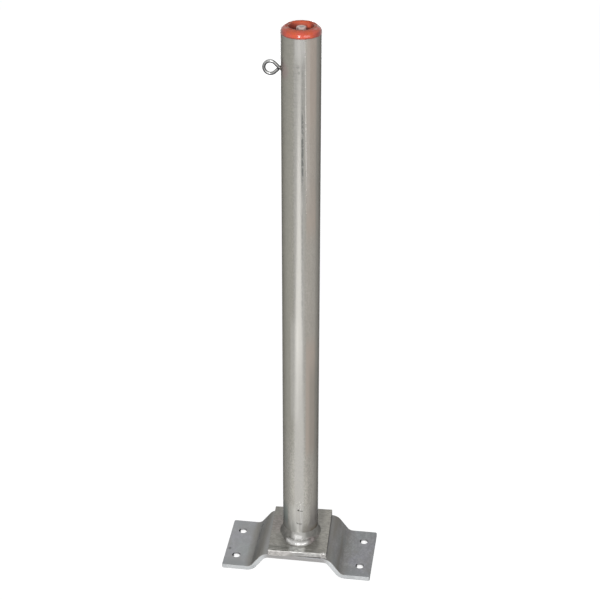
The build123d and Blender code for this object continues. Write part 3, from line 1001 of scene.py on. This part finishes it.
def plate_mesh():
    """The foot plate with its hole, rolled over at the front right and burred along the front."""
    insets = [inset * MM for inset in plate_insets]
    edge = plate_edge()
    turn = Matrix.Rotation(radians(plate_turn), 3, "Z")

    def ring(place, how):
        """Points by a place function, which is told a height, an inset or a share."""
        return [turn @ Vector(place(u, v, front, how)) for u, v, front in edge]

    def on_hole(u, v, front, z):
        far = hypot(u, v)
        return (u / far * plate_hole, v / far * plate_hole, z)

    def rounding(u, front):
        roll = smooth_step(u, front_roll_start, front_roll_start + front_roll_in)
        roll *= smooth_step(u, front_roll_end + front_roll_out, front_roll_end)
        return plate_edge_round + (front_roll * roll if front else 0)

    def front_rise(u, inset):
        """How far the front edge's ripples, lip and burrs stand up."""
        near = smooth_step(inset, *front_ripple_reach)
        rise = front_ripple * near * noise.noise(Vector((u * 420, inset * 500, 3.1)))
        lip = smooth_step(u, front_roll_start, front_roll_start - front_lip_fade)
        rise += front_lip_height * lip * exp(-(((inset - front_lip_inset) / front_lip_half) ** 2))
        for middle, deep, height, half in front_burrs:
            off = ((u - middle) / half) ** 2 + ((inset - deep) / half) ** 2
            rise += height * exp(-off) * smooth_step(inset, 0, 0.5 * MM)
        return rise

    def on_top(u, v, front, inset):
        size = rounding(u, front)
        drop = size - sqrt(max(0, size**2 - max(0, size - inset) ** 2))
        if front:
            drop -= front_rise(u, inset)
        return (u * (1 - inset / plate_half_x), v * (1 - inset / plate_half_y), plate_top - drop)

    def on_wall(u, v, front, share):
        high = plate_top - rounding(u, front)
        z = high + (plate_bottom - high) * share
        if front and share < 1:
            rough = 0.5 + 0.5 * noise.noise(Vector((u * 90, z * 1500, 8.2)))
            v += front_wall_marks * rough * sin(pi * share) ** 0.4
        return (u, v, z)

    def between(u, v, front, share):
        inner = Vector(on_hole(u, v, False, plate_top))
        return inner.lerp(Vector(on_top(u, v, False, insets[0])), share)

    rows = [ring(on_hole, plate_bottom)]
    rows += [ring(between, share) for share in (0, 0.5)]
    rows += [ring(on_top, inset) for inset in insets]
    rows += [ring(on_wall, (k + 1) / plate_wall_steps) for k in range(plate_wall_steps)]
    rows.append(rows[0])
    return rows_mesh("foot_plate_skin", rows, closed=True)


def tube_seam(material):
    """A thin raised line up the tube that turns a little and fades out downwards."""
    rows = []
    for i in range(seam_steps + 1):
        share = i / seam_steps
        z = seam_top + (seam_low - seam_top) * share
        azimuth = radians(seam_azimuth_top + (seam_azimuth_low - seam_azimuth_top) * min(1, share * 1.2))
        proud = seam_proud * min(1, (1 - share) * 2.2, share * 20 + 0.2)
        half = seam_width / 2 * (0.85 + 0.3 * noise.noise(Vector((0.3, 0.7, z * 60))))
        row = []
        for k in range(-seam_half_points, seam_half_points + 1):
            across = k / seam_half_points
            height = proud * (1 - across * across) - seam_sunk
            row.append(polar(tube_radius + height, azimuth + across * half / tube_radius, z))
        rows.append(row)
    return piece("tube_seam", rows_mesh("tube_seam", rows), material, "post")


def background_rays(tree):
    """1 for camera, glossy and transmission rays, which see the white background."""
    path = tree.nodes.new("ShaderNodeLightPath")
    total = path.outputs["Is Camera Ray"]
    for name in ("Is Glossy Ray", "Is Transmission Ray"):
        add = tree.nodes.new("ShaderNodeMath")
        add.operation = "MAXIMUM"
        tree.links.new(total, add.inputs[0])
        tree.links.new(path.outputs[name], add.inputs[1])
        total = add.outputs[0]
    return total


def mix_shaders(tree, share, first, second, output):
    mixer = tree.nodes.new("ShaderNodeMixShader")
    for socket, value in zip(mixer.inputs, (share, first.outputs[0], second.outputs[0])):
        tree.links.new(value, socket)
    tree.links.new(mixer.outputs[0], tree.nodes[output].inputs[0])


def white_floor():
    """A white floor that keeps a soft shadow."""
    near, far = -floor_reach, floor_reach
    mesh = rows_mesh("floor", [[(near, y, 0), (far, y, 0)] for y in (near, far)])
    skin = Skin("floor_white", 0, 1)
    skin.put("Base Color", (floor_white, floor_white, floor_white, 1))
    skin.put("Specular IOR Level", 0)
    glow = skin.node("ShaderNodeEmission", Strength=floor_glow_strength)
    share = skin.times(background_rays(skin.tree), floor_glow)
    mix_shaders(skin.tree, share, skin.shader, glow, "Material Output")
    mesh.materials.append(skin.material)
    floor = add_object("floor", mesh)
    floor.location = (0, 0, -floor_drop)


def white_world():
    """A weak white fill, seen as plain white by the background's rays."""
    world = bpy.data.worlds.new("studio")
    bpy.context.scene.world = world
    world.use_nodes = True
    tree = world.node_tree
    fill = tree.nodes["Background"]
    seen = tree.nodes.new("ShaderNodeBackground")
    for background, strength in ((fill, world_fill), (seen, 1)):
        background.inputs["Color"].default_value = (1, 1, 1, 1)
        background.inputs["Strength"].default_value = strength
    mix_shaders(tree, background_rays(tree), fill, seen, "World Output")


def lamp(name, place, size, power, rotation):
    """A rectangular soft light that the camera doesn't see."""
    data = bpy.data.lights.new(name, "AREA")
    data.shape = "RECTANGLE"
    data.size, data.size_y = size
    data.energy = power
    obj = add_object(name, data)
    obj.location = place
    obj.rotation_euler = rotation
    obj.visible_camera = False


def lights():
    """The main light and the fill beside the camera, a weak one behind, and bright strips in front."""
    for name, ((azimuth, elevation, distance), size, power) in lamps.items():
        flat = distance * cos(radians(elevation))
        way = Vector(polar(flat, radians(azimuth), distance * sin(radians(elevation))))
        lamp(name, Vector(lamps_aim) + way, size, power, (-way).to_track_quat("-Z", "Y").to_euler())
    azimuth = radians(strip_azimuth)
    for name, (start, length, width, radiance) in strips.items():
        place = polar(start + length / 2, azimuth, strip_level)
        lamp(name, place, (width, length), pi * radiance * width * length, (pi, 0, azimuth + pi / 2))


def camera():
    data = bpy.data.cameras.new("camera")
    data.lens = camera_lens
    data.sensor_width = camera_sensor
    obj = add_object("camera", data)
    turn = Euler((radians(90 - camera_pitch), 0, radians(camera_turn))).to_matrix()
    turn = turn @ Matrix.Rotation(radians(camera_roll), 3, "Z")
    obj.location = camera_place
    obj.rotation_euler = turn.to_euler()
    bpy.context.scene.camera = obj


bpy.context.scene.view_settings.view_transform = "Standard"
camera()
lights()
white_floor()
white_world()

# Materials on the nodes that stay
weld_zinc = zinc("weld_zinc").material
fastener_zinc = zinc("fastener_zinc").material
plate_zinc = plate_skin()
# The spindle's pinkish tone is a painted reflection of the red cap
spindle_steel = steel_skin("spindle_steel", (0.58, 0.46, 0.43), (0.73, 0.58, 0.54), 0.52, 0.15, 0.6)
spring_steel = steel_skin("spring_steel", (0.05, 0.05, 0.055), (0.09, 0.09, 0.095), 0.35, 0.1, 0.9)
node_materials = {
    "base_bracket": bracket_skin(),
    "base_nut": fastener_zinc,
    "nut_weld": weld_zinc,
    "post_tube": tube_skin(),
    "bearing_disc": plate_zinc,
    "disc_weld": weld_zinc,
    "top_cap": cap_skin(),
    "chain_eye": wire_skin(),
    "eye_weld": eye_weld_skin(),
    "thrust_washer": fastener_zinc,
    "collar": spindle_steel,
    "retaining_ring": spring_steel,
    "stop_pin": spring_steel,
}
for node, material in node_materials.items():
    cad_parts[node].data.materials.clear()
    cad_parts[node].data.materials.append(material)

# Pieces with finer shapes than the nodes have
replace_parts(spindle_bar(spindle_steel), "spindle")
nut_thread(fastener_zinc)
foot_weld = piece("foot_weld_run", foot_weld_mesh(), foot_weld_skin(), "post")
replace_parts(foot_weld, "foot_weld")
foot_plate = piece("foot_plate_skin", plate_mesh(), plate_zinc, "post")
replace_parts(foot_plate, "foot_plate")
tube_seam(seam_skin())
